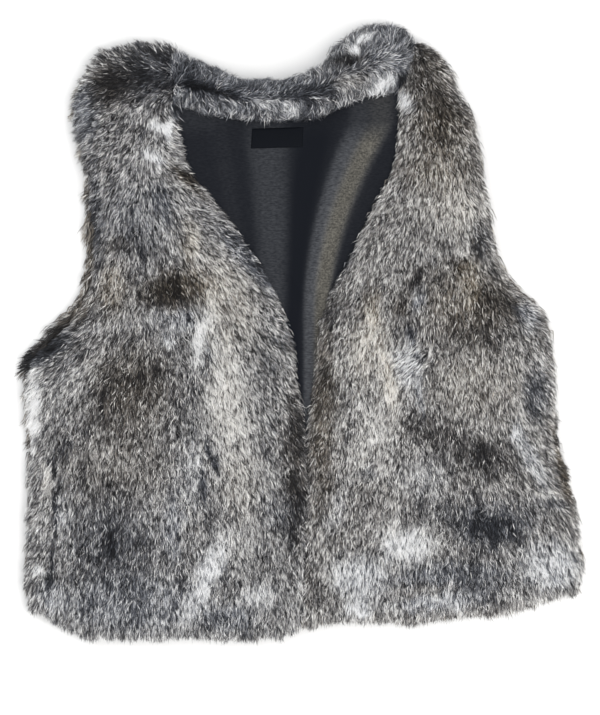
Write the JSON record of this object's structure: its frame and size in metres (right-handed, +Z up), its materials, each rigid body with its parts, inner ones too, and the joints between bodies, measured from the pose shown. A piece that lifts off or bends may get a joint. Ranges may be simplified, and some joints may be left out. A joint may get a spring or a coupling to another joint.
{
  "type": "sleeveless fur gilet",
  "caption": "Short fur gilet without sleeves, open at the front, laid flat with a fur stand collar and a dark satin lining in its neck.",
  "frame": {"origin": "centre of the laid garment's outline, on the surface that it lies on", "axes": "+Z up from that surface, +Y from the hem to the collar, +X to the viewer's right (the wearer's left)"},
  "size_m": [0.5264, 0.5814, 0.0451],
  "materials": {
    "fur": "short dense grey-brown fur with pale tips",
    "collar_fur": "longer tousled fur, blue-grey underneath with white tufts",
    "lining_satin": "dark satin with soft lengthwise folds",
    "label_weave": "plain black woven tape"
  },
  "bodies": {
    "root": {"front_right": "fur", "front_left": "fur", "back": "fur", "collar": "collar_fur", "lining_back": "lining_satin", "neck_label": "label_weave"}
  },
  "joints": []
}
